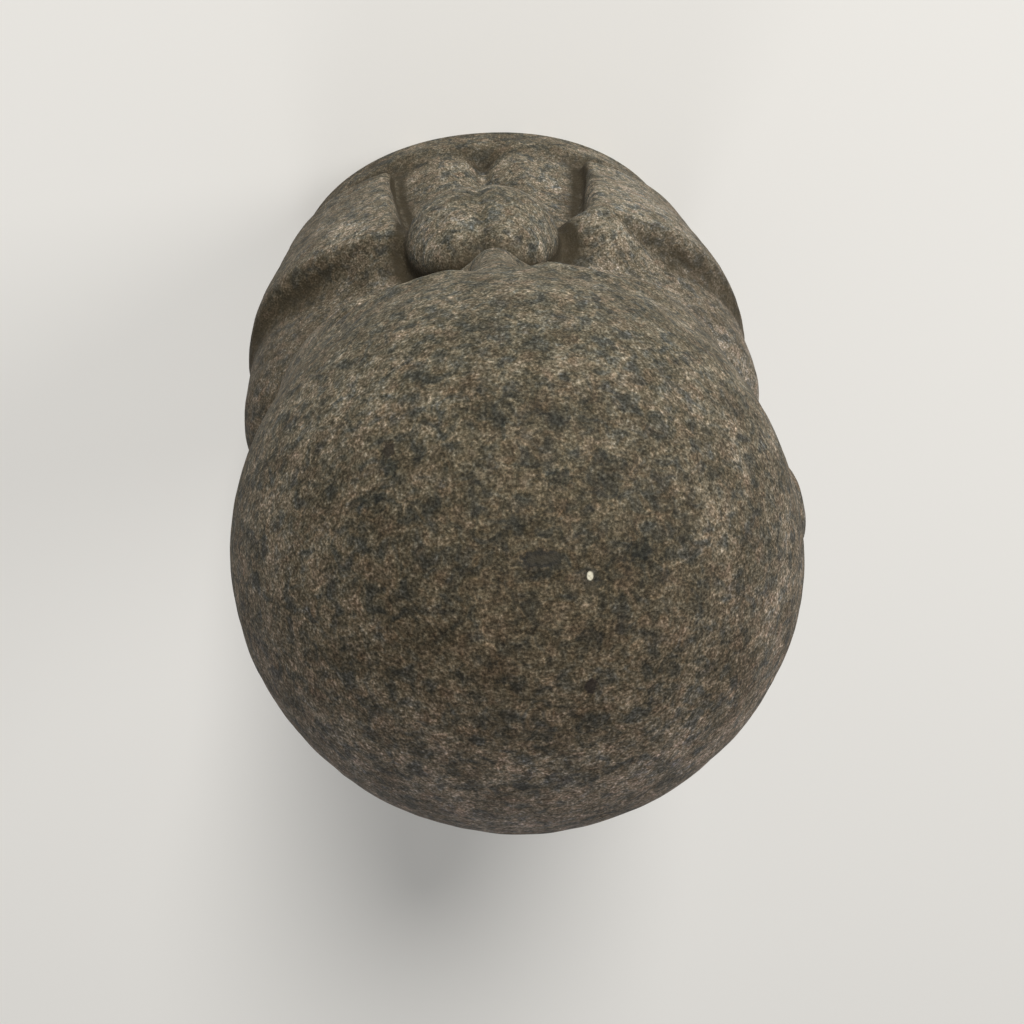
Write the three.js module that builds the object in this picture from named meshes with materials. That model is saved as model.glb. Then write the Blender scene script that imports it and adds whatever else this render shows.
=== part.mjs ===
// A small praying monk figure with a large bowed head, carved with its low oval base from one stone.
// Millimetres, +Z up. The figure faces -Y, and the origin is the middle of the underside.
import * as THREE from 'three';
import { mergeVertices } from 'three/addons/utils/BufferGeometryUtils.js';

// Driving sizes
const FIGURE_HEIGHT = 111;
const BASE_WIDTH = 64.6;
const BASE_DEPTH = 46.6;
const BASE_HEIGHT = 9;
const BASE_EDGE_RADIUS = 2;

// Carving, in hundredths of the figure's height. Levels count up from the top of the base, forward is
// the way the figure faces, and each form is made on both sides of the middle unless it is central.
const UNIT = FIGURE_HEIGHT / 100;
const HEAD = { level: 70.6, forward: 0.7, width: 26.8, depth: 26.2, height: 30 };
const HEAD_NOD = THREE.MathUtils.degToRad(20);
const FACE_STARTS = [4, 14];
const LINE_FADE = 1.5;
const CHEEK = { at: [11.5, 12.4, -14.4], size: [11.6, 11.6, 11.6], blend: 7 };
const CHIN = { at: [0, 15.4, -24], size: [7.4, 6.2, 5.2], blend: 5 };
const EYE_HOLLOW = { at: [10.6, 27.2, -5.6], size: [7.6, 4.6, 4.2], blend: 3 };
const EYELID = { at: [10.6, 21.3, -6.2], size: [6.2, 3.5, 3.2], blend: 1.2 };
const LASH_LINE = { level: -8.2, rise: 0.05, reach: 5.2, depth: 0.55, width: 0.7 };
const BROW = { level: 2, middle: 9.5, fall: 0.014, starts: [2, 5], ends: [16, 21], lift: 0.65, width: 2.1 };
const NOSE = { top: [0, 24.6, -1], tip: [0, 25.6, -12], topRadius: 1.7, tipRadius: 2.7, blend: 1.8 };
const NOSTRIL = { at: [2.5, 24.6, -12.6], size: [2, 2, 1.6], blend: 1.2 };
const LIPS = { at: [0, 21.8, -18.4], size: [5, 2.6, 2.6], blend: 2 };
const MOUTH_LINE = { level: -18.6, rise: 0.03, reach: 5, depth: 0.7, width: 0.7 };
const EAR = { at: [24.4, 0.8, -6.2], size: [4.1, 5.4, 10], blend: 2.4, aside: 0.7 };
const EAR_HOLLOW = { at: [28.5, 1.4, -5], size: [1.8, 2.8, 6], blend: 1.6 };
const TEMPLE = { at: [-27.5, 7, 0], depth: 1, width: 8.5 };

const ROBE = {
  width: [[-4, 27.8], [10, 28.6], [30, 29.2], [42, 27.4], [50, 21], [56, 12]],
  front: [[-4, 19.4], [2, 19], [10, 17.4], [20, 16.4], [40, 15.6], [50, 13], [56, 8]],
  back: [[-4, 19.6], [6, 19.4], [24, 19], [40, 18.6], [50, 15], [56, 8]],
  squareness: 2.3,
  bottom: -3,
  blend: 1,
};
const SKIRT_FOLD = {
  groove: 1.2,
  grooveWidth: 1.5,
  side: 5.4,
  lift: 1.1,
  liftWidth: 3.4,
  starts: [0, 8],
  fades: [12, 34],
};
const SHOULDER = [20.8, -1.5, 37.1];
const ELBOW = [21.9, 1.9, 24.5];
const WRIST = [12.6, 14.2, 28.4];
const ARM_RADIUS = { shoulder: 10.1, elbow: 8.45, forearm: 6.6, wrist: 5.2, blend: 3 };
const SLEEVE = {
  width: [[-6, 29.9], [8, 30.4], [24, 31.5], [34, 30.9]],
  front: [[-6, 20.5], [6, 20.7], [28, 21], [42, 18]],
  back: 13,
  squareness: 2.33,
  inner: { bottom: 13.1, top: 9.4, levels: [7, 34], lean: 0.35, aside: 0.7 },
  cuff: { innerTop: 30.3, outerTop: 28.6, outerSide: 30, uneven: 2, unevenSide: 8, blend: 1.4 },
  hem: 2.2,
  blend: 1.3,
};
const PALM = { at: [1.8, 18.6, 34.6], size: [6.1, 5, 9.6] };
const KNUCKLES = { at: [0, 16.6, 31], size: [8.5, 6.6, 7.4], blend: 4 };
const PALM_GROOVE = { depth: 0.3, width: 0.8, starts: [17, 22] };
const HANDS_ASIDE = 0.95;
const NECK_BLEND = 2.6;
const BASE_BLEND = 1;
const BASE_SQUARENESS = 2.08;
const SIDE_TURN = 8;

// Facets: columns round the stone, closer together in front, and rows down each form
const COLUMNS = 92;
const FRONT_CROWDING = 0.55;
const ROWS = { head: 30, robe: 17, base: 5 };
const CROWN_CROWDING = 0.5;
const CROWN_ANGLES = [0.3, 0.7];
const SPINE = { halfWidth: 10, fades: [34, 50] };
const WALK_STEP = 0.3;
const CROWN_PASSES = 20;
const SLOPE_STEP = 0.02;
const MERGE_DISTANCE = 0.001;

const { clamp, lerp, smoothstep } = THREE.MathUtils;
const bell = (offset, width) => Math.exp(-((offset / width) ** 2));

// Signed fields: below zero inside the stone, above zero outside it
const join = (a, b, blend) => Math.min(a, b) - Math.max(blend - Math.abs(a - b), 0) ** 2 / (4 * blend);
const overlap = (a, b, blend) => -join(-a, -b, blend);
const carveOut = (a, b, blend) => -join(-a, b, blend);

function ellipsoid([x, y, z], { at, size }) {
  const near = new THREE.Vector3((x - at[0]) / size[0], (y - at[1]) / size[1], (z - at[2]) / size[2]);
  const slope = Math.hypot(near.x / size[0], near.y / size[1], near.z / size[2]);
  return slope === 0 ? -Math.min(...size) : near.length() * (near.length() - 1) / slope;
}

function limb(point, start, end, startRadius, endRadius) {
  const from = new THREE.Vector3(...start);
  const along = new THREE.Vector3(...end).sub(from);
  const offset = new THREE.Vector3(...point).sub(from);
  const share = clamp(offset.dot(along) / along.lengthSq(), 0, 1);
  return offset.addScaledVector(along, -share).length() - lerp(startRadius, endRadius, share);
}

// A size that changes smoothly through the given [level, size] pairs
function profile(level, pairs) {
  const after = pairs.findIndex((pair) => pair[0] >= level);
  if (after === 0) return pairs[0][1];
  if (after < 0) return pairs[pairs.length - 1][1];
  const [a, b] = [pairs[after - 1], pairs[after]];
  const slopeAt = (i) => {
    const [before, next] = [pairs[Math.max(i - 1, 0)], pairs[Math.min(i + 1, pairs.length - 1)]];
    return (next[1] - before[1]) / (next[0] - before[0]);
  };
  const span = b[0] - a[0];
  const t = (level - a[0]) / span;
  const rise = t * t * (3 - 2 * t);
  const startTangent = t * (1 - t) * (1 - t) * span * slopeAt(after - 1);
  const endTangent = t * t * (t - 1) * span * slopeAt(after);
  return lerp(a[1], b[1], rise) + startTangent + endTangent;
}

// An upright form with an oval section that may differ before and behind
function column(x, y, width, front, back, squareness) {
  const depth = lerp(back, front, smoothstep(y, -SIDE_TURN, SIDE_TURN));
  const reach = Math.abs(x / width) ** squareness + Math.abs(y / depth) ** squareness;
  return (reach ** (1 / squareness) - 1) * Math.min(width, front);
}

function head(x, y, z) {
  const ahead = y - HEAD.forward;
  const above = z - HEAD.level;
  const forward = ahead * Math.cos(HEAD_NOD) - above * Math.sin(HEAD_NOD);
  const up = above * Math.cos(HEAD_NOD) + ahead * Math.sin(HEAD_NOD);
  const side = Math.abs(x);
  const point = [side, forward, up];
  const facing = smoothstep(forward, ...FACE_STARTS);

  let field = ellipsoid(point, { at: [0, 0, 0], size: [HEAD.width, HEAD.depth, HEAD.height] });
  const fromTemple = Math.hypot(x - TEMPLE.at[0], forward - TEMPLE.at[1], up - TEMPLE.at[2]);
  field += TEMPLE.depth * bell(fromTemple, TEMPLE.width);
  field = join(field, ellipsoid(point, CHEEK), CHEEK.blend);
  field = join(field, ellipsoid(point, CHIN), CHIN.blend);
  field = carveOut(field, ellipsoid(point, EYE_HOLLOW), EYE_HOLLOW.blend);
  field = join(field, ellipsoid(point, EYELID), EYELID.blend);

  const fromEye = side - EYELID.at[0];
  const lash = up - LASH_LINE.level - LASH_LINE.rise * fromEye ** 2;
  const lashReach = smoothstep(LASH_LINE.reach - Math.abs(fromEye), 0, LINE_FADE);
  field += LASH_LINE.depth * bell(lash, LASH_LINE.width) * lashReach * facing;
  const brow = up - BROW.level + BROW.fall * (side - BROW.middle) ** 2;
  const browReach = smoothstep(side, ...BROW.starts) * (1 - smoothstep(side, ...BROW.ends));
  field -= BROW.lift * bell(brow, BROW.width) * browReach * facing;

  field = join(field, limb(point, NOSE.top, NOSE.tip, NOSE.topRadius, NOSE.tipRadius), NOSE.blend);
  field = join(field, ellipsoid(point, NOSTRIL), NOSTRIL.blend);
  field = join(field, ellipsoid(point, LIPS), LIPS.blend);
  const smile = up - MOUTH_LINE.level - MOUTH_LINE.rise * side ** 2;
  const smileReach = smoothstep(MOUTH_LINE.reach - side, 0, LINE_FADE);
  field += MOUTH_LINE.depth * bell(smile, MOUTH_LINE.width) * smileReach * facing;

  const nearEar = [Math.abs(x + EAR.aside), forward, up];
  const ear = carveOut(ellipsoid(nearEar, EAR), ellipsoid(nearEar, EAR_HOLLOW), EAR_HOLLOW.blend);
  return join(field, ear, EAR.blend);
}

function robe(x, y, z) {
  const side = Math.abs(x);
  const [width, front, back] = [ROBE.width, ROBE.front, ROBE.back].map((pairs) => profile(z, pairs));
  let field = column(x, y, width, front, back, ROBE.squareness);
  field = overlap(overlap(field, z - HEAD.level, ROBE.blend), ROBE.bottom - z, ROBE.blend);
  const skirt = smoothstep(y, ...SKIRT_FOLD.starts) * (1 - smoothstep(z, ...SKIRT_FOLD.fades));
  field += SKIRT_FOLD.groove * bell(side, SKIRT_FOLD.grooveWidth) * skirt;
  field -= SKIRT_FOLD.lift * bell(side - SKIRT_FOLD.side, SKIRT_FOLD.liftWidth) * skirt;
  return field;
}

function arm(x, y, z) {
  const point = [Math.abs(x), y, z];
  const upper = limb(point, SHOULDER, ELBOW, ARM_RADIUS.shoulder, ARM_RADIUS.elbow);
  const fore = limb(point, ELBOW, WRIST, ARM_RADIUS.forearm, ARM_RADIUS.wrist);
  return join(upper, fore, ARM_RADIUS.blend);
}

function sleeve(x, y, z) {
  const { inner, cuff, hem, back, squareness, blend } = SLEEVE;
  let field = column(x, y, profile(z, SLEEVE.width), profile(z, SLEEVE.front), back, squareness);
  const side = Math.abs(x + inner.aside);
  const rise = clamp((z - inner.levels[0]) / (inner.levels[1] - inner.levels[0]), 0, 1);
  const edge = lerp(inner.bottom, inner.top, rise) + inner.lean * Math.max(y - profile(z, ROBE.front), 0);
  field = overlap(field, edge - side, blend);
  const outward = clamp((side - inner.top) / (cuff.outerSide - inner.top), 0, 1);
  const innerTop = cuff.innerTop + cuff.uneven * clamp(x / cuff.unevenSide, -1, 1);
  field = overlap(field, z - lerp(innerTop, cuff.outerTop, outward), cuff.blend);
  return overlap(field, hem - z, blend);
}

function hands(x, y, z) {
  const side = Math.abs(x - HANDS_ASIDE);
  const field = join(ellipsoid([side, y, z], PALM), ellipsoid([side, y, z], KNUCKLES), KNUCKLES.blend);
  return field + PALM_GROOVE.depth * bell(side, PALM_GROOVE.width) * smoothstep(y, ...PALM_GROOVE.starts);
}

// The three forms of the stone and all of it together, in millimetres
function headForm(x, y, z) {
  return head(x / UNIT, -y / UNIT, (z - BASE_HEIGHT) / UNIT) * UNIT;
}

function robeForm(x, y, z) {
  const point = [x / UNIT, -y / UNIT, (z - BASE_HEIGHT) / UNIT];
  const body = join(robe(...point), arm(...point), ARM_RADIUS.blend);
  return join(join(body, sleeve(...point), SLEEVE.blend), hands(...point), SLEEVE.blend) * UNIT;
}

function baseForm(x, y, z) {
  const oval = column(x, -y, BASE_WIDTH / 2, BASE_DEPTH / 2, BASE_DEPTH / 2, BASE_SQUARENESS);
  return overlap(oval, z - BASE_HEIGHT, BASE_EDGE_RADIUS * 2);
}

function stone(x, y, z) {
  return join(join(robeForm(x, y, z), headForm(x, y, z), NECK_BLEND), baseForm(x, y, z), BASE_BLEND);
}

// A column's points lie on one upright sheet that leaves the middle of the stone at its own bearing
function onSheet(bearing, out, level) {
  const spread = SPINE.halfWidth * UNIT * (1 - smoothstep((level - BASE_HEIGHT) / UNIT, ...SPINE.fades));
  return [Math.sin(bearing) * (out + spread), -Math.cos(bearing) * out, level];
}

// The top of the stone on its middle line
function crownLevel() {
  let level = BASE_HEIGHT + FIGURE_HEIGHT;
  for (let pass = 0; pass < CROWN_PASSES; pass += 1) level -= stone(0, 0, level);
  return level;
}

// The outline of the stone on one sheet, walked from the crown down to the underside
function walkOutline(bearing) {
  const at = (out, level) => stone(...onSheet(bearing, out, level));
  const outline = [];
  let out = 0;
  let level = crownLevel();
  while (level > 0) {
    outline.push({ out, level });
    const field = at(out, level);
    const outward = (at(out + SLOPE_STEP, level) - field) / SLOPE_STEP;
    const upward = (at(out, level + SLOPE_STEP) - field) / SLOPE_STEP;
    const steepness = Math.hypot(outward, upward);
    out += (WALK_STEP * upward - field * outward / steepness) / steepness;
    level -= (WALK_STEP * outward + field * upward / steepness) / steepness;
  }
  return outline;
}

// The place in an outline where one form of the stone ends
function lastPointOf(form, outline, bearing) {
  return outline.findLastIndex(({ out, level }) => {
    const point = onSheet(bearing, out, level);
    const field = form(...point);
    return [headForm, robeForm, baseForm].every((other) => field <= other(...point));
  });
}

// What a step along the outline counts for when rows are spread: on the head the angle swept about
// its middle, with fewer rows over the crown, on the robe the drop, and on the base the way walked
function sweptAngle(from, to) {
  const middle = BASE_HEIGHT + HEAD.level * UNIT;
  const angle = Math.atan2(to.level - middle, to.out);
  const swept = Math.abs(Math.atan2(from.level - middle, from.out) - angle);
  return swept * lerp(1, CROWN_CROWDING, smoothstep(angle, ...CROWN_ANGLES));
}

const drop = (from, to) => Math.abs(from.level - to.level);
const way = (from, to) => Math.hypot(from.out - to.out, from.level - to.level);

// Rows spread evenly by that count along a stretch of outline, each at its start
function spreadRows(stretch, rows, count) {
  const counted = [0];
  for (let i = 1; i < stretch.length; i += 1) {
    counted.push(counted[i - 1] + count(stretch[i - 1], stretch[i]));
  }
  return Array.from({ length: rows }, (_, row) => {
    const goal = counted[counted.length - 1] * row / rows;
    const next = Math.max(counted.findIndex((sum) => sum >= goal), 1);
    const share = clamp((goal - counted[next - 1]) / (counted[next] - counted[next - 1]), 0, 1);
    const [a, b] = [stretch[next - 1], stretch[next]];
    return { out: lerp(a.out, b.out, share), level: lerp(a.level, b.level, share) };
  });
}

// The points of one column, from the middle of the underside up to the crown
function columnPoints(bearing) {
  const outline = walkOutline(bearing);
  const neck = lastPointOf(headForm, outline, bearing);
  const hem = lastPointOf(robeForm, outline, bearing);
  const rim = { out: outline[outline.length - 1].out, level: 0 };
  const downward = [
    ...spreadRows(outline.slice(0, neck + 1), ROWS.head, sweptAngle),
    ...spreadRows(outline.slice(neck, hem + 1), ROWS.robe, drop),
    ...spreadRows([...outline.slice(hem, -1), rim], ROWS.base, way),
    rim,
  ].map(({ out, level }) => onSheet(bearing, out, level));
  return [...downward, [0, 0, 0]].reverse();
}

// A turned blank whose columns are then laid along the carved outlines
function carvedGeometry() {
  const columns = Array.from({ length: COLUMNS }, (_, column) => {
    const turn = 2 * Math.PI * column / COLUMNS;
    return columnPoints(turn - FRONT_CROWDING * Math.sin(turn));
  });
  const rowCount = columns[0].length - 1;
  const blank = Array.from({ length: rowCount + 1 }, (_, row) => {
    const angle = Math.PI * row / rowCount;
    return new THREE.Vector2(Math.sin(angle), -Math.cos(angle));
  });
  const geometry = new THREE.LatheGeometry(blank, COLUMNS);
  for (let column = 0; column <= COLUMNS; column += 1) {
    const points = columns[column % COLUMNS];
    const first = column * (rowCount + 1);
    points.forEach((point, row) => geometry.attributes.position.setXYZ(first + row, ...point));
  }
  geometry.deleteAttribute('normal');
  geometry.deleteAttribute('uv');
  return mergeVertices(geometry, MERGE_DISTANCE);
}

const statue = new THREE.Mesh(
  carvedGeometry(),
  new THREE.MeshStandardMaterial({ color: 0x6f6659, roughness: 0.85, metalness: 0 }),
);
statue.name = 'jizo_statue';

const group = new THREE.Group();
group.add(statue);
export default group;
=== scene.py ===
# A small stone jizo: the fine carving, the stone itself, and the studio around it.
import math

import bpy
import numpy as np
from mathutils import Matrix, Vector


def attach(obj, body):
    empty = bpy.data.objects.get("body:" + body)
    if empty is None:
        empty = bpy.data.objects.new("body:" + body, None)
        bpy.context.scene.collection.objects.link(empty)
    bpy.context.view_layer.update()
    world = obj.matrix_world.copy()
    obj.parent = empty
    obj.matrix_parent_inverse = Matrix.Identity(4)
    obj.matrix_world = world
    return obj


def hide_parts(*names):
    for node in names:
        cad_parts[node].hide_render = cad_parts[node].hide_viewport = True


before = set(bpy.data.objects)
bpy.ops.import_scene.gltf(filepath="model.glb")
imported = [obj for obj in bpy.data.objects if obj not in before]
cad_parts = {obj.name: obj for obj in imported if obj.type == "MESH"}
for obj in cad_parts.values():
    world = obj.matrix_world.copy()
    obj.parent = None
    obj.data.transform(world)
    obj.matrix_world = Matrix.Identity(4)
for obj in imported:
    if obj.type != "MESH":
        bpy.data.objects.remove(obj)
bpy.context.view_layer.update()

MM = 0.001
SEED = 17

# Driving sizes, in millimetres
FIGURE_HEIGHT = 111.0
BASE_WIDTH = 64.6
BASE_DEPTH = 46.6
BASE_HEIGHT = 9.0
BASE_EDGE_RADIUS = 2.0

# Carving, in hundredths of the figure's height. Levels count up from the top of the base, and places
# are given as side, forward, level, on both sides of the middle unless the form is central.
UNIT = FIGURE_HEIGHT / 100
HEAD = dict(level=70.6, forward=0.7, width=26.8, depth=26.2, height=30, nod=math.radians(20))
FACE_STARTS = (4, 14)
LINE_FADE = 1.5
CHEEK = dict(at=(11.5, 12.4, -14.4), size=(11.6, 11.6, 11.6), blend=7)
CHIN = dict(at=(0, 15.4, -24), size=(7.4, 6.2, 5.2), blend=5)
EYE_HOLLOW = dict(at=(10.6, 27.2, -5.6), size=(7.6, 4.6, 4.2), blend=3)
EYELID = dict(at=(10.6, 21.3, -6.2), size=(6.2, 3.5, 3.2), blend=1.2)
LASH_LINE = dict(level=-8.2, rise=0.05, reach=5.2, depth=0.55, width=0.7)
BROW = dict(level=2, middle=9.5, fall=0.014, starts=(2, 5), ends=(16, 21), lift=0.65, width=2.1)
NOSE = dict(top=(0, 24.6, -1), tip=(0, 25.6, -12), top_radius=1.7, tip_radius=2.7, blend=1.8)
NOSTRIL = dict(at=(2.5, 24.6, -12.6), size=(2, 2, 1.6), blend=1.2)
LIPS = dict(at=(0, 21.8, -18.4), size=(5, 2.6, 2.6), blend=2)
MOUTH_LINE = dict(level=-18.6, rise=0.03, reach=5, depth=0.7, width=0.7)
EAR = dict(at=(24.4, 0.8, -6.2), size=(4.1, 5.4, 10), blend=2.4, aside=0.7)
EAR_HOLLOW = dict(at=(28.5, 1.4, -5), size=(1.8, 2.8, 6), blend=1.6)
TEMPLE = dict(at=(-27.5, 7, 0), depth=1, width=8.5)

ROBE = dict(
    width=((-4, 27.8), (10, 28.6), (30, 29.2), (42, 27.4), (50, 21), (56, 12)),
    front=((-4, 19.4), (2, 19), (10, 17.4), (20, 16.4), (40, 15.6), (50, 13), (56, 8)),
    back=((-4, 19.6), (6, 19.4), (24, 19), (40, 18.6), (50, 15), (56, 8)),
    squareness=2.3,
    bottom=-3,
    blend=1,
)
SKIRT_FOLD = dict(
    groove=1.2,
    groove_width=1.5,
    side=5.4,
    lift=1.1,
    lift_width=3.4,
    starts=(0, 8),
    fades=(12, 34),
)
SHOULDER = (20.8, -1.5, 37.1)
ELBOW = (21.9, 1.9, 24.5)
WRIST = (12.6, 14.2, 28.4)
ARM_RADIUS = dict(shoulder=10.1, elbow=8.45, forearm=6.6, wrist=5.2, blend=3)
SLEEVE = dict(
    width=((-6, 29.9), (8, 30.4), (24, 31.5), (34, 30.9)),
    front=((-6, 20.5), (6, 20.7), (28, 21), (42, 18)),
    back=13,
    squareness=2.33,
    inner=dict(bottom=13.1, top=9.4, levels=(7, 34), lean=0.35, aside=0.7),
    cuff=dict(inner_top=30.3, outer_top=28.6, outer_side=30, uneven=2, uneven_side=8, blend=1.4),
    hem=2.2,
    blend=1.3,
)
PALM = dict(at=(1.8, 18.6, 34.6), size=(6.1, 5, 9.6))
KNUCKLES = dict(at=(0, 16.6, 31), size=(8.5, 6.6, 7.4), blend=4)
PALM_GROOVE = dict(depth=0.3, width=0.8, starts=(17, 22))
HANDS_ASIDE = 0.95
NECK_BLEND = 2.6
BASE_BLEND = 1.0
BASE_SQUARENESS = 2.08
SIDE_TURN = 8

# Mesh: columns round the stone, closer together in front, and rows down each form
COLUMNS = 400
ROWS = dict(head=150, robe=70, base=22)
FRONT_CROWDING = 0.35
CROWN_CROWDING = 0.8
CROWN_ANGLES = (0.3, 0.7)
LEDGE_CROWDING = 0.15
SPINE = dict(half_width=10, fades=(34, 50))
CROWN_PASSES = 20
WALK_STEP = 0.2
SLOPE_STEP = 0.02
RELAX_PASSES = 10
RELAX_SHARE = 0.5
SHARP_ANGLE = math.radians(60)

# The worked surface, in millimetres: lumps as (size, height), shallow pits, and the rim left clean
RELIEF = ((11.0, 0.15), (4.2, 0.07), (1.9, 0.045))
PITS = dict(count=260, radius=(0.45, 1.0), depth=(0.04, 0.16))
RELIEF_STARTS = (0.2, 1.5)
NOISE_LEANS = 256
NOISE_GAIN = 1.6

# How far a hollow is felt for, and the painted light and shade on the stone: crown darker; nape, upright
# robe faces and right side lighter
HOLLOW_REACHES = (1.2, 3.0, 6.0)
CROWN_PAINTED_SHADE = dict(facing=(0, -0.5, 0.87), fall=1.5, most=0.6)
NAPE_PAINTED_LIGHT = dict(paler=0.9, facing=(-0.3, 0.9))
ROBE_PAINTED_LIGHT = dict(least=0.25, paler=0.7, slope=(0.1, 0.75))
RIGHT_SIDE_PAINTED_LIGHT = dict(paler=0.75, places=(4, 26))
BASE_PAINTED_LIGHT = 0.45
ROBE_STARTS = (7, 13)
HEAD_STARTS = (61, 70)
PALEST = 1.7


def ease(value, low, high):
    share = np.clip((value - low) / (high - low), 0, 1)
    return share * share * (3 - 2 * share)


def mix(a, b, share):
    return a + (b - a) * share


def bell(offset, width):
    return np.exp(-((offset / width) ** 2))


# Signed fields: below zero inside the stone, above zero outside it
def join(a, b, blend):
    return np.minimum(a, b) - np.maximum(blend - np.abs(a - b), 0) ** 2 / (4 * blend)


def overlap(a, b, blend):
    return -join(-a, -b, blend)


def carve_out(a, b, blend):
    return -join(-a, b, blend)


def ellipsoid(x, y, z, form):
    (ax, ay, az), (sx, sy, sz) = form["at"], form["size"]
    u, v, w = (x - ax) / sx, (y - ay) / sy, (z - az) / sz
    reach = np.sqrt(u * u + v * v + w * w)
    slope = np.sqrt((u / sx) ** 2 + (v / sy) ** 2 + (w / sz) ** 2)
    return reach * (reach - 1) / np.maximum(slope, 1e-9)


def limb(x, y, z, start, end, start_radius, end_radius):
    along = np.subtract(end, start)
    dx, dy, dz = x - start[0], y - start[1], z - start[2]
    share = np.clip((dx * along[0] + dy * along[1] + dz * along[2]) / (along @ along), 0, 1)
    dx, dy, dz = dx - share * along[0], dy - share * along[1], dz - share * along[2]
    return np.sqrt(dx * dx + dy * dy + dz * dz) - mix(start_radius, end_radius, share)


def profile(level, pairs):
    """A size that changes smoothly through the given (level, size) pairs."""
    levels, sizes = np.array(pairs, float).T
    slopes = np.gradient(sizes)
    slopes[1:-1] = (sizes[2:] - sizes[:-2]) / (levels[2:] - levels[:-2])
    slopes[[0, -1]] = slopes[[0, -1]] / (levels[[1, -1]] - levels[[0, -2]])
    level = np.clip(level, levels[0], levels[-1])
    after = np.clip(np.searchsorted(levels, level), 1, len(levels) - 1)
    span = levels[after] - levels[after - 1]
    t = (level - levels[after - 1]) / span
    tangents = t * (1 - t) ** 2 * slopes[after - 1] + t * t * (t - 1) * slopes[after]
    return mix(sizes[after - 1], sizes[after], t * t * (3 - 2 * t)) + span * tangents


def column(x, y, width, front, back, squareness):
    """An upright form with an oval section that may differ before and behind."""
    depth = mix(back, front, ease(y, -SIDE_TURN, SIDE_TURN))
    reach = (np.abs(x / width) ** squareness + np.abs(y / depth) ** squareness) ** (1 / squareness)
    return (reach - 1) * np.minimum(width, front)


def head(x, y, z):
    ahead, above = y - HEAD["forward"], z - HEAD["level"]
    forward = ahead * math.cos(HEAD["nod"]) - above * math.sin(HEAD["nod"])
    up = above * math.cos(HEAD["nod"]) + ahead * math.sin(HEAD["nod"])
    side = np.abs(x)
    facing = ease(forward, *FACE_STARTS)

    skull = dict(at=(0, 0, 0), size=(HEAD["width"], HEAD["depth"], HEAD["height"]))
    field = ellipsoid(side, forward, up, skull)
    off_side, off_forward, off_up = TEMPLE["at"]
    apart = np.sqrt((x - off_side) ** 2 + (forward - off_forward) ** 2 + (up - off_up) ** 2)
    field = field + TEMPLE["depth"] * bell(apart, TEMPLE["width"])
    field = join(field, ellipsoid(side, forward, up, CHEEK), CHEEK["blend"])
    field = join(field, ellipsoid(side, forward, up, CHIN), CHIN["blend"])
    field = carve_out(field, ellipsoid(side, forward, up, EYE_HOLLOW), EYE_HOLLOW["blend"])
    field = join(field, ellipsoid(side, forward, up, EYELID), EYELID["blend"])

    from_eye = side - EYELID["at"][0]
    lash = up - LASH_LINE["level"] - LASH_LINE["rise"] * from_eye ** 2
    lash_reach = ease(LASH_LINE["reach"] - np.abs(from_eye), 0, LINE_FADE)
    field = field + LASH_LINE["depth"] * bell(lash, LASH_LINE["width"]) * lash_reach * facing
    brow = up - BROW["level"] + BROW["fall"] * (side - BROW["middle"]) ** 2
    brow_reach = ease(side, *BROW["starts"]) * (1 - ease(side, *BROW["ends"]))
    field = field - BROW["lift"] * bell(brow, BROW["width"]) * brow_reach * facing

    nose = limb(side, forward, up, NOSE["top"], NOSE["tip"], NOSE["top_radius"], NOSE["tip_radius"])
    field = join(field, nose, NOSE["blend"])
    field = join(field, ellipsoid(side, forward, up, NOSTRIL), NOSTRIL["blend"])
    field = join(field, ellipsoid(side, forward, up, LIPS), LIPS["blend"])
    smile = up - MOUTH_LINE["level"] - MOUTH_LINE["rise"] * side ** 2
    smile_reach = ease(MOUTH_LINE["reach"] - side, 0, LINE_FADE)
    field = field + MOUTH_LINE["depth"] * bell(smile, MOUTH_LINE["width"]) * smile_reach * facing

    near_ear = (np.abs(x + EAR["aside"]), forward, up)
    ear = carve_out(ellipsoid(*near_ear, EAR), ellipsoid(*near_ear, EAR_HOLLOW), EAR_HOLLOW["blend"])
    return join(field, ear, EAR["blend"])


def robe(x, y, z):
    width, front, back = (profile(z, ROBE[name]) for name in ("width", "front", "back"))
    field = column(x, y, width, front, back, ROBE["squareness"])
    field = overlap(field, z - HEAD["level"], ROBE["blend"])
    field = overlap(field, ROBE["bottom"] - z, ROBE["blend"])
    skirt = ease(y, *SKIRT_FOLD["starts"]) * (1 - ease(z, *SKIRT_FOLD["fades"]))
    field = field + SKIRT_FOLD["groove"] * bell(x, SKIRT_FOLD["groove_width"]) * skirt
    fold = bell(np.abs(x) - SKIRT_FOLD["side"], SKIRT_FOLD["lift_width"])
    return field - SKIRT_FOLD["lift"] * fold * skirt


def arm(x, y, z):
    side = np.abs(x)
    upper = limb(side, y, z, SHOULDER, ELBOW, ARM_RADIUS["shoulder"], ARM_RADIUS["elbow"])
    fore = limb(side, y, z, ELBOW, WRIST, ARM_RADIUS["forearm"], ARM_RADIUS["wrist"])
    return join(upper, fore, ARM_RADIUS["blend"])


def sleeve(x, y, z):
    inner, cuff, blend = SLEEVE["inner"], SLEEVE["cuff"], SLEEVE["blend"]
    width, front = profile(z, SLEEVE["width"]), profile(z, SLEEVE["front"])
    field = column(x, y, width, front, SLEEVE["back"], SLEEVE["squareness"])
    side = np.abs(x + inner["aside"])
    low, high = inner["levels"]
    edge = mix(inner["bottom"], inner["top"], np.clip((z - low) / (high - low), 0, 1))
    edge = edge + inner["lean"] * np.maximum(y - profile(z, ROBE["front"]), 0)
    field = overlap(field, edge - side, blend)
    outward = np.clip((side - inner["top"]) / (cuff["outer_side"] - inner["top"]), 0, 1)
    inner_top = cuff["inner_top"] + cuff["uneven"] * np.clip(x / cuff["uneven_side"], -1, 1)
    field = overlap(field, z - mix(inner_top, cuff["outer_top"], outward), cuff["blend"])
    return overlap(field, SLEEVE["hem"] - z, blend)


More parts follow.
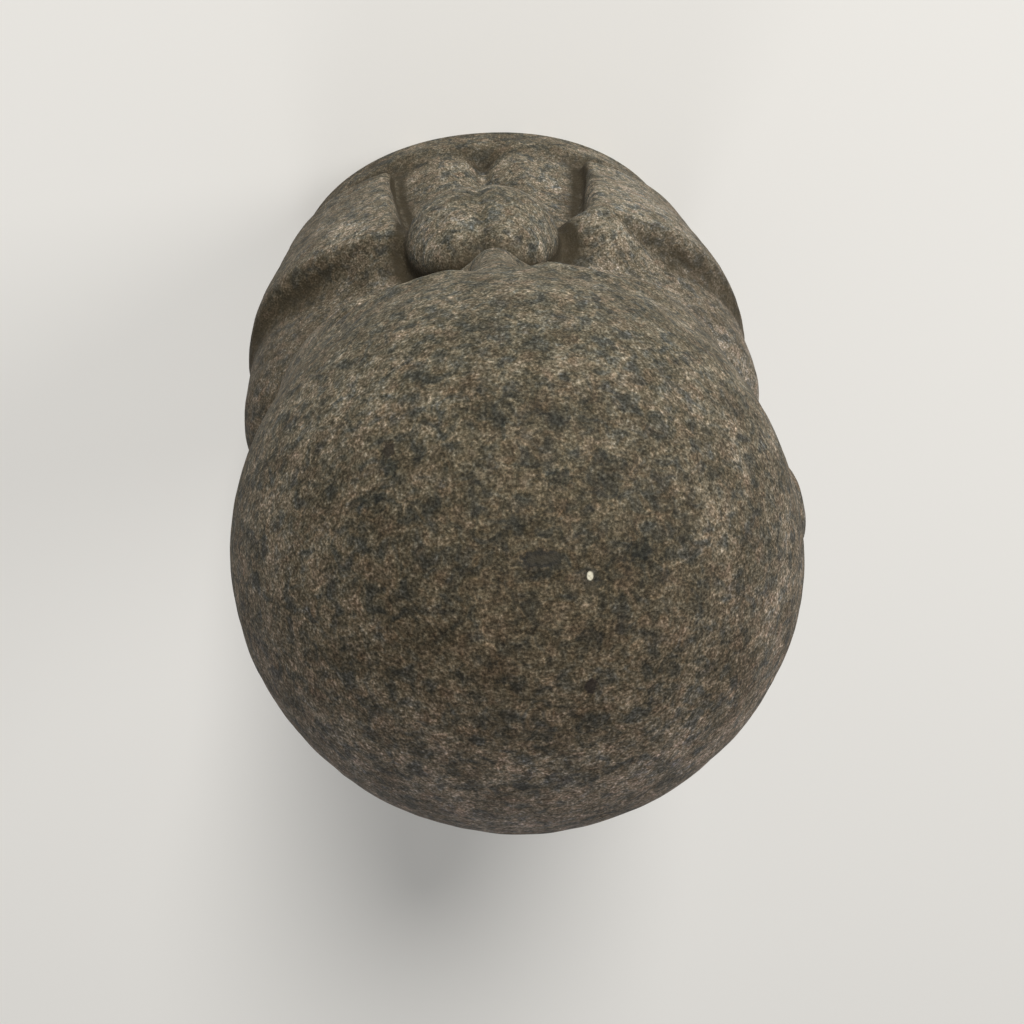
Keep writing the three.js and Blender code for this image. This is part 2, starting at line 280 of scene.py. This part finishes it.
def hands(x, y, z):
    side = np.abs(x - HANDS_ASIDE)
    field = join(ellipsoid(side, y, z, PALM), ellipsoid(side, y, z, KNUCKLES), KNUCKLES["blend"])
    return field + PALM_GROOVE["depth"] * bell(side, PALM_GROOVE["width"]) * ease(y, *PALM_GROOVE["starts"])


# The three forms of the stone and all of it together, in millimetres
def figure_place(x, y, z):
    return x / UNIT, -y / UNIT, (z - BASE_HEIGHT) / UNIT


def head_form(x, y, z):
    return head(*figure_place(x, y, z)) * UNIT


def robe_form(x, y, z):
    place = figure_place(x, y, z)
    body = join(robe(*place), arm(*place), ARM_RADIUS["blend"])
    return join(join(body, sleeve(*place), SLEEVE["blend"]), hands(*place), SLEEVE["blend"]) * UNIT


def base_form(x, y, z):
    oval = column(x, -y, BASE_WIDTH / 2, BASE_DEPTH / 2, BASE_DEPTH / 2, BASE_SQUARENESS)
    return overlap(oval, z - BASE_HEIGHT, BASE_EDGE_RADIUS * 2)


def stone(x, y, z):
    return join(join(robe_form(x, y, z), head_form(x, y, z), NECK_BLEND), base_form(x, y, z), BASE_BLEND)


# The mesh
def on_sheet(bearing, out, level):
    """A column's points lie on one upright sheet that leaves the middle of the stone at its own bearing."""
    spread = SPINE["half_width"] * UNIT * (1 - ease((level - BASE_HEIGHT) / UNIT, *SPINE["fades"]))
    return np.sin(bearing) * (out + spread), -np.cos(bearing) * out, level


def walk_outlines(bearings):
    """The outline of the stone on every sheet, walked from the crown down to the underside."""
    def at(out, level):
        return stone(*on_sheet(bearings, out, level))

    out = np.zeros_like(bearings)
    level = np.full_like(bearings, BASE_HEIGHT + FIGURE_HEIGHT)
    for _ in range(CROWN_PASSES):
        level = level - at(out, level)[0]
    outs, levels = [], []
    while (level > 0).any():
        outs.append(out)
        levels.append(level)
        field = at(out, level)
        outward = (at(out + SLOPE_STEP, level) - field) / SLOPE_STEP
        upward = (at(out, level + SLOPE_STEP) - field) / SLOPE_STEP
        steepness = np.hypot(outward, upward)
        moving = level > 0
        out = out + moving * (WALK_STEP * upward - field * outward / steepness) / steepness
        level = level - moving * (WALK_STEP * outward + field * upward / steepness) / steepness
    return np.array([*outs, out]), np.maximum([*levels, level], 0)


# How much of the rows each stretch of an outline takes: the head by angle, the robe mostly by height,
# and the base by length
def swept_angle(out, level):
    middle = BASE_HEIGHT + HEAD["level"] * UNIT
    angle = np.arctan2(level - middle, out)
    return np.abs(np.diff(angle)) * mix(1, CROWN_CROWDING, ease(angle[1:], *CROWN_ANGLES))


def drop(out, level):
    return np.abs(np.diff(level)) + LEDGE_CROWDING * np.abs(np.diff(out))


def way(out, level):
    return np.hypot(np.diff(out), np.diff(level))


def spread_rows(out, level, rows, count):
    counted = np.concatenate(([0], np.cumsum(count(out, level) + 1e-9)))
    goals = np.arange(rows) / rows * counted[-1]
    return np.interp(goals, counted, out), np.interp(goals, counted, level)


def stone_grid():
    """Points on the stone, [row, column, xyz], from just below the crown's middle to the rim."""
    turns = np.arange(COLUMNS) / COLUMNS * 2 * math.pi
    bearings = turns - FRONT_CROWDING * np.sin(turns)
    outs, levels = walk_outlines(bearings)
    places = on_sheet(bearings, outs, levels)
    fields = np.array([form(*places) for form in (head_form, robe_form, base_form)])
    owner = fields.argmin(axis=0)
    owner[levels <= 0] = 2
    grid = np.empty((sum(ROWS.values()) + 1, COLUMNS, 3))
    for c, bearing in enumerate(bearings):
        neck = np.flatnonzero(owner[:, c] == 0)[-1]
        hem = np.flatnonzero(owner[:, c] == 1)[-1]
        rim = np.flatnonzero(levels[:, c] <= 0)[0]
        stretches = ((0, neck, "head", swept_angle), (neck, hem, "robe", drop), (hem, rim, "base", way))
        rows = [spread_rows(outs[a:b + 1, c], levels[a:b + 1, c], ROWS[name], count)
                for a, b, name, count in stretches]
        out = np.concatenate([row[0] for row in rows] + [outs[rim:rim + 1, c]])
        level = np.concatenate([row[1] for row in rows] + [[0]])
        grid[:, c] = np.stack(on_sheet(bearing, out, level), axis=-1)
    return grid


def facing_out(points):
    """The outward direction of the stone at each point, and the field there."""
    x, y, z = points.T
    field = stone(x, y, z)
    step = SLOPE_STEP
    slope = np.stack([stone(x + step, y, z), stone(x, y + step, z), stone(x, y, z + step)], axis=-1)
    slope = (slope - field[:, None]) / step
    steepness = np.linalg.norm(slope, axis=1, keepdims=True)
    return slope / steepness, field[:, None] / steepness


def noise(points, size, seed):
    """Seeded smooth noise from about -1 to 1, with lumps of the given size in millimetres."""
    random = np.random.default_rng(seed)
    shuffled = random.permutation(NOISE_LEANS)
    leans = random.normal(size=(NOISE_LEANS, 3))
    leans /= np.linalg.norm(leans, axis=1, keepdims=True)
    place = points / size
    cell = np.floor(place).astype(int)
    share = place - cell
    fade = share ** 3 * (share * (share * 6 - 15) + 10)
    total = np.zeros(len(points))
    for corner in np.ndindex(2, 2, 2):
        x, y, z = (cell + corner).T % NOISE_LEANS
        lean = leans[shuffled[(shuffled[(shuffled[x] + y) % NOISE_LEANS] + z) % NOISE_LEANS]]
        weight = np.prod(np.where(corner, fade, 1 - fade), axis=1)
        total += weight * ((share - corner) * lean).sum(axis=1)
    return total * NOISE_GAIN


def relief(points):
    """How far the worked surface stands out from the carved form, in millimetres."""
    height = sum(depth * noise(points, size, SEED + i) for i, (size, depth) in enumerate(RELIEF))
    random = np.random.default_rng(SEED)
    for index in random.choice(len(points), PITS["count"], replace=False):
        radius = random.uniform(*PITS["radius"])
        depth = random.uniform(*PITS["depth"])
        apart = ((points - points[index]) ** 2).sum(axis=1)
        height -= depth * np.exp(-apart / radius ** 2)
    return height * ease(points[:, 2], *RELIEF_STARTS)


def hollow(points, directions):
    """How enclosed each point is, from 0 on open surfaces to 1 deep in a crease."""
    def open_share(reach):
        return np.clip(stone(*(points + directions * reach).T) / reach, 0, 1)

    return 1 - sum(open_share(reach) for reach in HOLLOW_REACHES) / len(HOLLOW_REACHES)


def painted_light(points, directions):
    """How much painted light the stone gets: 0 under the painted shade on the crown, up to 1 on the robe's
    right side.
    """
    # Painted shade on the crown, darkest where it faces the camera
    head = np.clip(CROWN_PAINTED_SHADE["fall"] * (1 - directions @ CROWN_PAINTED_SHADE["facing"]), 0, CROWN_PAINTED_SHADE["most"])
    # Painted light on the nape, the back of the head
    head = head + NAPE_PAINTED_LIGHT["paler"] * ease(directions[:, 1], *NAPE_PAINTED_LIGHT["facing"])
    # Painted light: the robe's upright faces lighter than its tops
    steepness = ease(1 - directions[:, 2], *ROBE_PAINTED_LIGHT["slope"])
    robe = ROBE_PAINTED_LIGHT["least"] + ROBE_PAINTED_LIGHT["paler"] * steepness
    body = mix(BASE_PAINTED_LIGHT, robe, ease(points[:, 2], *ROBE_STARTS))
    # Painted light on the robe's right side
    body = body + RIGHT_SIDE_PAINTED_LIGHT["paler"] * ease(-points[:, 0], *RIGHT_SIDE_PAINTED_LIGHT["places"])
    return mix(body, head, ease(points[:, 2], *HEAD_STARTS)) / PALEST


def relax(grid):
    """Spread the points evenly over walls and edges, and set them on the stone again; the rim stays."""
    for _ in range(RELAX_PASSES):
        inside = grid[1:-1]
        across = np.roll(inside, 1, axis=1) + np.roll(inside, -1, axis=1)
        inside = mix(inside, (across + grid[2:] + grid[:-2]) / 4, RELAX_SHARE)
        directions, distance = facing_out(inside.reshape(-1, 3))
        grid[1:-1] = inside - (directions * distance).reshape(inside.shape)
    return grid


def build_statue():
    grid = relax(stone_grid())
    rows, columns, _ = grid.shape
    points = np.concatenate([grid[:1, 0], grid[1:].reshape(-1, 3)])
    directions, _ = facing_out(points)
    dirt_and_painted_light = {"hollow": hollow(points, directions), "painted_light": painted_light(points, directions)}
    points = points + directions * relief(points)[:, None]
    points = np.concatenate([points, [[0, 0, 0]]])

    def index(row, col):
        return 0 if row == 0 else 1 + (row - 1) * columns + col % columns

    faces = []
    for row in range(rows - 1):
        for col in range(columns):
            a, b = index(row, col), index(row, col + 1)
            c, d = index(row + 1, col + 1), index(row + 1, col)
            faces.append((a, d, c) if row == 0 else (a, d, c, b))
    middle = len(points) - 1
    faces += [(index(rows - 1, col), middle, index(rows - 1, col + 1)) for col in range(columns)]

    mesh = bpy.data.meshes.new("jizo")
    mesh.from_pydata((points * MM).tolist(), [], faces)
    for name, values in dirt_and_painted_light.items():
        mesh.attributes.new(name, "FLOAT", "POINT").data.foreach_set("value", np.append(values, 0))
    mesh.shade_smooth()
    mesh.set_sharp_from_angle(angle=SHARP_ANGLE)
    statue = bpy.data.objects.new("jizo", mesh)
    bpy.context.collection.objects.link(statue)
    return statue


# Materials
def node(tree, kind, inputs=(), **settings):
    made = tree.nodes.new(kind)
    for name, value in settings.items():
        setattr(made, name, value)
    for name, value in dict(inputs).items():
        if isinstance(value, bpy.types.NodeSocket):
            tree.links.new(value, made.inputs[name])
        else:
            made.inputs[name].default_value = value
    return made


def srgb(red, green, blue):
    """Screen colour values to the linear ones that Blender works in."""
    shares = (red / 255, green / 255, blue / 255)
    return *(c / 12.92 if c <= 0.04045 else ((c + 0.055) / 1.055) ** 2.4 for c in shares), 1.0


def new_material(name):
    material = bpy.data.materials.new(name)
    material.use_nodes = True
    tree = material.node_tree
    tree.nodes.clear()
    return material, tree


def ramp(tree, factor, stops):
    made = node(tree, "ShaderNodeValToRGB", {"Fac": factor})
    elements = made.color_ramp.elements
    while len(elements) < len(stops):
        elements.new(0.5)
    for element, (position, colour) in zip(elements, stops):
        element.position = position
        element.color = colour
    return made.outputs["Color"]


def blend_colour(tree, factor, a, b, kind="MIX"):
    made = node(tree, "ShaderNodeMix", data_type="RGBA", blend_type=kind)
    for socket, value in ((0, factor), (6, a), (7, b)):
        if isinstance(value, bpy.types.NodeSocket):
            tree.links.new(value, made.inputs[socket])
        else:
            made.inputs[socket].default_value = value
    return made.outputs[2]


# The stone's grain, from fine to coarse, and how strongly it lightens and darkens each colour
GRAIN = (
    dict(size=0.24, detail=1, share=2.1),
    dict(size=0.55, detail=1, share=1.3),
    dict(size=3.6, detail=2, share=1.15),
    dict(size=9.0, detail=2, share=0.5),
)
GRAIN_CONTRAST = dict(Red=5.3, Green=5.55, Blue=7.0)

# Its colours: crystals, pink grains and dark clots, then dirt and painted shade in its hollows, and the
# painted light
CRYSTALS = dict(size=1.5, detail=3, roughness=0.6, distortion=0.6)
CRYSTAL_TONES = (
    (0.34, srgb(38, 37, 30)),
    (0.42, srgb(48, 45, 35)),
    (0.52, srgb(61, 55, 41)),
    (0.62, srgb(75, 65, 48)),
    (0.72, srgb(88, 75, 56)),
)
PINK = dict(
    cloud=dict(size=2.1, detail=3, roughness=0.65),
    covers=(0.5, 0.66),
    most=0.5,
    tint=(1.2, 1.04, 1.04, 1),
)
CLOTS = dict(
    cloud=dict(size=1.5, detail=3, roughness=0.62, distortion=0.4),
    covers=(0.53, 0.63),
    most=0.8,
    tint=(0.52, 0.56, 0.6, 1),
)
HOLLOW_DIRT_AND_SHADE = dict(covers=(0.1, 0.44), most=0.95, colour=srgb(46, 39, 25))
# Painted light: how far the colour is lightened where the painted light is strongest
PAINTED_LIGHT_TINT = (3.1, 3.4, 4.3, 1)
FRONT_HUE = (1.02, 1.01, 0.95, 1)
BACK_HUE = (1.12, 1.0, 0.99, 1)
HUE_FADES = (-30, 14)

# Its finish
BUMP = dict(strength=0.5, depth=0.1)
POLISH = dict(cloud=dict(size=0.8, detail=2), covers=(0.3, 0.7), roughness=(0.7, 0.92))
SPECULAR = 0.2

# Single marks on the head, each an oval with a ragged edge: a white crystal, inclusions, a dark spot
# and a pit painted dark as painted shade, then the darker blotches
MARK_EDGE = (1.15, 0.8)
RAGGED = dict(size=0.5, detail=2)
MARKS = (
    dict(at=(-5, -16, 116.4), size=(0.26, 0.34, 0.5), colour=srgb(178, 172, 152), cover=1, ragged=0.1),
    dict(at=(-5, -15, 116.9), size=(0.5, 0.55, 0.6), colour=srgb(48, 43, 32), cover=0.6, ragged=0.8),
    dict(at=(-1.1, -17.6, 115.9), size=(1.7, 0.7, 0.9), colour=srgb(30, 29, 25), cover=0.85, ragged=0.6),
    dict(at=(-1.3, -17.6, 115.9), size=(1.2, 0.34, 0.7), colour=srgb(54, 49, 38), cover=0.6, ragged=0.8),
    dict(at=(10.6, -23.6, 106.8), size=(0.55, 0.7, 0.8), colour=srgb(32, 27, 20), cover=0.85, ragged=0.7),
    # Painted shade: a pit's dark, painted on the surface
    dict(at=(-4.5, -7.4, 119.5), size=(0.6, 0.7, 0.7), colour=srgb(28, 22, 18), cover=0.9, ragged=0.6),
)
BLOTCH = (0.46, 0.52, 0.56, 1)
BLOTCHES = (
    dict(at=(10.3, -22.2, 107.9), size=(0.7, 1.2, 1.1), cover=0.9, ragged=0.8),
    dict(at=(-8.0, -22.4, 110.1), size=(1.1, 0.9, 0.8), cover=0.7, ragged=1.2),
    dict(at=(-3.2, -22.4, 111.5), size=(1.3, 0.8, 0.8), cover=0.9, ragged=1.2),
    dict(at=(12.6, -20.4, 109.4), size=(1.5, 0.7, 0.8), cover=0.9, ragged=1.2),
    dict(at=(0.4, -21.2, 113.0), size=(1.3, 0.8, 0.8), cover=0.6, ragged=1.2),
    dict(at=(-9.3, -17.0, 114.4), size=(1.3, 1.1, 0.8), cover=0.9, ragged=1.2),
    dict(at=(1.0, -25.3, 108.1), size=(0.2, 0.9, 1.0), cover=1.0, ragged=0.4),
)


def stone_material():
    material, tree = new_material("stone")
    place = node(tree, "ShaderNodeTexCoord").outputs["Object"]
    scale = (1 / MM,) * 3
    millimetres = node(tree, "ShaderNodeMapping", {"Vector": place, "Scale": scale}).outputs["Vector"]

    def math_node(operation, a, b):
        return node(tree, "ShaderNodeMath", {0: a, 1: b}, operation=operation).outputs["Value"]

    def vector_node(operation, output, *vectors):
        made = node(tree, "ShaderNodeVectorMath", dict(enumerate(vectors)), operation=operation)
        return made.outputs[output]

    def cloud(size, detail, roughness=0.6, distortion=0.0):
        made = node(tree, "ShaderNodeTexNoise", {
            "Vector": millimetres, "Scale": 1 / size, "Detail": detail,
            "Roughness": roughness, "Distortion": distortion,
        })
        return made.outputs["Fac"]

    def band(factor, low, high, top=1.0, bottom=0.0):
        made = node(tree, "ShaderNodeMapRange", {
            "Value": factor, "From Min": low, "From Max": high, "To Min": bottom, "To Max": top,
        })
        return made.outputs["Result"]

    def attribute(name):
        return node(tree, "ShaderNodeAttribute", attribute_name=name).outputs["Fac"]

    def patch(at, size, cover, ragged, **_):
        offset = vector_node("SUBTRACT", "Vector", millimetres, at)
        reach = vector_node("LENGTH", "Value", vector_node("DIVIDE", "Vector", offset, size))
        uneven = math_node("MULTIPLY", math_node("SUBTRACT", cloud(**RAGGED), 0.5), 2 * ragged)
        return band(math_node("ADD", reach, uneven), *MARK_EDGE, cover)

    grain = 0.0
    for layer in GRAIN:
        swing = math_node("SUBTRACT", cloud(layer["size"], layer["detail"]), 0.5)
        grain = math_node("ADD", math_node("MULTIPLY", swing, layer["share"]), grain)
    grains = {channel: math_node("POWER", contrast, grain) for channel, contrast in GRAIN_CONTRAST.items()}
    light_and_dark = node(tree, "ShaderNodeCombineColor", grains).outputs["Color"]
    colour = ramp(tree, cloud(**CRYSTALS), CRYSTAL_TONES)
    colour = blend_colour(tree, 1.0, colour, light_and_dark, "MULTIPLY")
    for spots in (PINK, CLOTS):
        tinted = blend_colour(tree, 1.0, colour, spots["tint"], "MULTIPLY")
        share = band(cloud(**spots["cloud"]), *spots["covers"], spots["most"])
        colour = blend_colour(tree, share, colour, tinted)
    axes = node(tree, "ShaderNodeSeparateXYZ", {"Vector": millimetres})
    hue = blend_colour(tree, band(axes.outputs["Y"], *HUE_FADES), FRONT_HUE, BACK_HUE)
    colour = blend_colour(tree, 1.0, colour, hue, "MULTIPLY")
    # Painted light: the colour lightened by the painted light attribute
    painted_light_colour = blend_colour(tree, 1.0, colour, PAINTED_LIGHT_TINT, "MULTIPLY")
    colour = blend_colour(tree, attribute("painted_light"), colour, painted_light_colour)
    # Dirt and painted shade: darker deep in the hollows and creases
    dirt_and_shade = band(attribute("hollow"), *HOLLOW_DIRT_AND_SHADE["covers"], HOLLOW_DIRT_AND_SHADE["most"])
    colour = blend_colour(tree, dirt_and_shade, colour, HOLLOW_DIRT_AND_SHADE["colour"])
    for blotch in BLOTCHES:
        colour = blend_colour(tree, patch(**blotch), colour, BLOTCH, "MULTIPLY")
    for mark in MARKS:
        colour = blend_colour(tree, patch(**mark), colour, mark["colour"])

    bump = node(tree, "ShaderNodeBump", {
        "Height": grain, "Strength": BUMP["strength"], "Distance": BUMP["depth"] * MM,
    })
    smoothest, roughest = POLISH["roughness"]
    rough = band(cloud(**POLISH["cloud"]), *POLISH["covers"], roughest, smoothest)
    surface = node(tree, "ShaderNodeBsdfPrincipled", {
        "Base Color": colour, "Roughness": rough, "Normal": bump.outputs["Normal"],
        "Specular IOR Level": SPECULAR,
    })
    node(tree, "ShaderNodeOutputMaterial", {"Surface": surface.outputs["BSDF"]})
    return material


def floor_material():
    material, tree = new_material("floor")
    surface = node(tree, "ShaderNodeBsdfPrincipled", {
        "Base Color": FLOOR["colour"], "Roughness": FLOOR["roughness"],
    })
    node(tree, "ShaderNodeOutputMaterial", {"Surface": surface.outputs["BSDF"]})
    return material


# The studio
IMAGE_SIZE = 1024
FOCAL_PIXELS = 1180
HEAD_PIXEL = (516.7, 540.7)
HEAD_MIDDLE = Vector((0, -1, 87)) * MM
VIEW_DISTANCE = 126.8 * MM
VIEW_TILT = math.radians(31.1)
VIEW_ROLL = math.radians(-3.16)
VIEW_YAW = math.radians(3.05)
SENSOR = 36.0
NEAREST = 1 * MM
FLOOR = dict(half_size=3.0, colour=srgb(224, 221, 215), roughness=0.9)
SKY = dict(colour=(0.95, 0.97, 1.0, 1), strength=0.25)
LIT_PLACE = Vector((0, 0, 0.06))
SOFTBOXES = dict(
    key=dict(place=(-0.24, -1.44, 0.96), size=0.6, power=35),
    side=dict(place=(-1.25, -0.45, 0.5), size=0.7, power=9),
    back=dict(place=(0.35, 1.4, 0.45), size=0.7, power=4.5),
)


def add_camera():
    """The photograph's view: from in front of and above the crown, which is at the bottom of the image."""
    right = Vector((-math.cos(VIEW_ROLL), -math.sin(VIEW_ROLL), math.tan(VIEW_YAW))).normalized()
    forward = Matrix.Rotation(VIEW_ROLL, 3, "Z") @ Vector((0, math.sin(VIEW_TILT), -math.cos(VIEW_TILT)))
    forward = (forward - right * forward.dot(right)).normalized()
    up = right.cross(forward)
    across, down = ((pixel - IMAGE_SIZE / 2) / FOCAL_PIXELS for pixel in HEAD_PIXEL)
    towards = (forward + right * across - up * down).normalized()
    camera = bpy.data.objects.new("camera", bpy.data.cameras.new("camera"))
    camera.data.sensor_width = SENSOR
    camera.data.lens = SENSOR * FOCAL_PIXELS / IMAGE_SIZE
    camera.data.clip_start = NEAREST
    turn = Matrix((right, up, -forward)).transposed().to_4x4()
    camera.matrix_world = Matrix.Translation(HEAD_MIDDLE - towards * VIEW_DISTANCE) @ turn
    bpy.context.collection.objects.link(camera)
    bpy.context.scene.camera = camera


def add_floor():
    half = FLOOR["half_size"]
    corners = [(-half, -half, 0), (half, -half, 0), (half, half, 0), (-half, half, 0)]
    mesh = bpy.data.meshes.new("floor")
    mesh.from_pydata(corners, [], [(0, 1, 2, 3)])
    floor = bpy.data.objects.new("floor", mesh)
    floor.data.materials.append(floor_material())
    bpy.context.collection.objects.link(floor)


def add_softbox(name, place, size, power):
    light = bpy.data.lights.new(name, "AREA")
    light.shape = "DISK"
    light.size = size
    light.energy = power
    lamp = bpy.data.objects.new(name, light)
    lamp.location = place
    lamp.rotation_euler = (LIT_PLACE - Vector(place)).to_track_quat("-Z", "Y").to_euler()
    bpy.context.collection.objects.link(lamp)


def add_lights():
    world = bpy.data.worlds.new("studio")
    bpy.context.scene.world = world
    world.use_nodes = True
    background = world.node_tree.nodes["Background"]
    background.inputs["Color"].default_value = SKY["colour"]
    background.inputs["Strength"].default_value = SKY["strength"]
    for name, softbox in SOFTBOXES.items():
        add_softbox(name, **softbox)
    bpy.context.scene.view_settings.view_transform = "Standard"


add_camera()
add_floor()
add_lights()
statue = build_statue()
statue.data.materials.append(stone_material())
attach(statue, "root")
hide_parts("jizo_statue")
